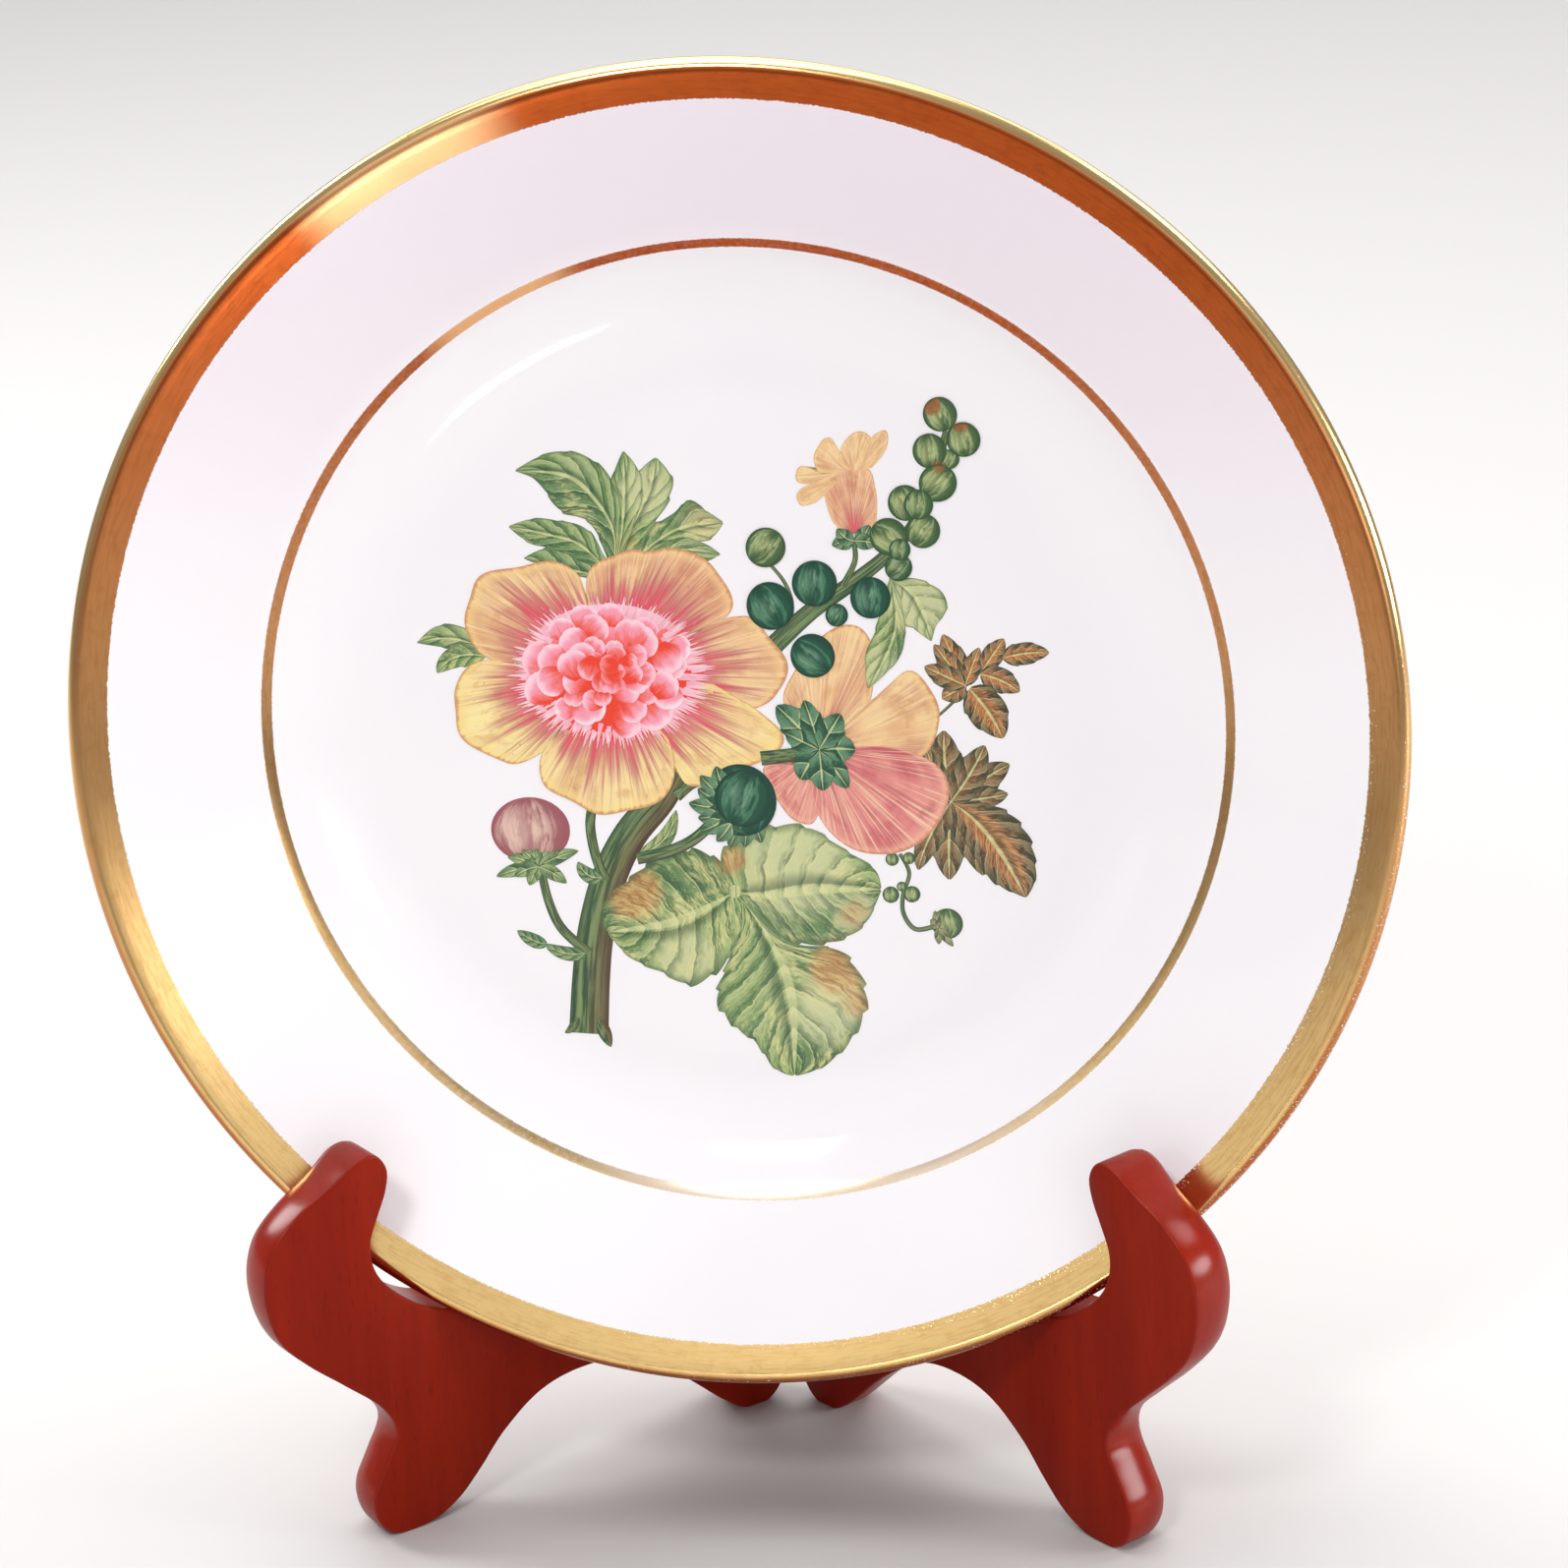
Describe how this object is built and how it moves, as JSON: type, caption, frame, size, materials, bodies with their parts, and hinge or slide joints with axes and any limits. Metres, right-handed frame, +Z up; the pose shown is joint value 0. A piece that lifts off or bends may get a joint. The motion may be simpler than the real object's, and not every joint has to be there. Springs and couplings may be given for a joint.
{
  "type": "display plate on folding stand",
  "caption": "Round gilt-rimmed porcelain plate painted with a flower spray, leaning on a folding two-board wooden stand with brass hinges.",
  "frame": {"origin": "on the table, at the centre of the whole object's bounding box", "axes": "+Z up; the plate faces -Y, towards the viewer; +X to the viewer's right"},
  "size_m": [0.237, 0.0814, 0.2634],
  "materials": {
    "porcelain": "glossy white glaze, gilt rim and ring, painted flowers",
    "wood": "red mahogany stain under satin lacquer",
    "brass": "satin, slightly tarnished"
  },
  "bodies": {
    "left_wing": {"left_board": "wood", "lower_hinge_left_leaf": "brass", "lower_hinge_left_bottom_screw": "brass", "lower_hinge_left_top_screw": "brass", "upper_hinge_left_leaf": "brass", "upper_hinge_left_bottom_screw": "brass", "upper_hinge_left_top_screw": "brass", "lower_hinge_pin": "brass", "upper_hinge_pin": "brass"},
    "right_wing": {"right_board": "wood", "lower_hinge_right_leaf": "brass", "lower_hinge_right_bottom_screw": "brass", "lower_hinge_right_top_screw": "brass", "upper_hinge_right_leaf": "brass", "upper_hinge_right_bottom_screw": "brass", "upper_hinge_right_top_screw": "brass"},
    "plate": {"plate": "porcelain"}
  },
  "joints": [
    {"name": "plate_lift", "type": "slide", "parent": "left_wing", "child": "plate", "axis": [0, 0.0576, 0.9983], "range_m": [0, 0.38]},
    {"name": "wing_fold", "type": "hinge", "parent": "left_wing", "child": "right_wing", "pos_m": [0, 0.03379, 0.075], "axis": [0, 0, 1], "range_deg": [-95, 0]}
  ],
  "couplings": [
    {"joint": "wing_fold", "follows": "plate_lift", "rad_per_m": -4.3629}
  ]
}
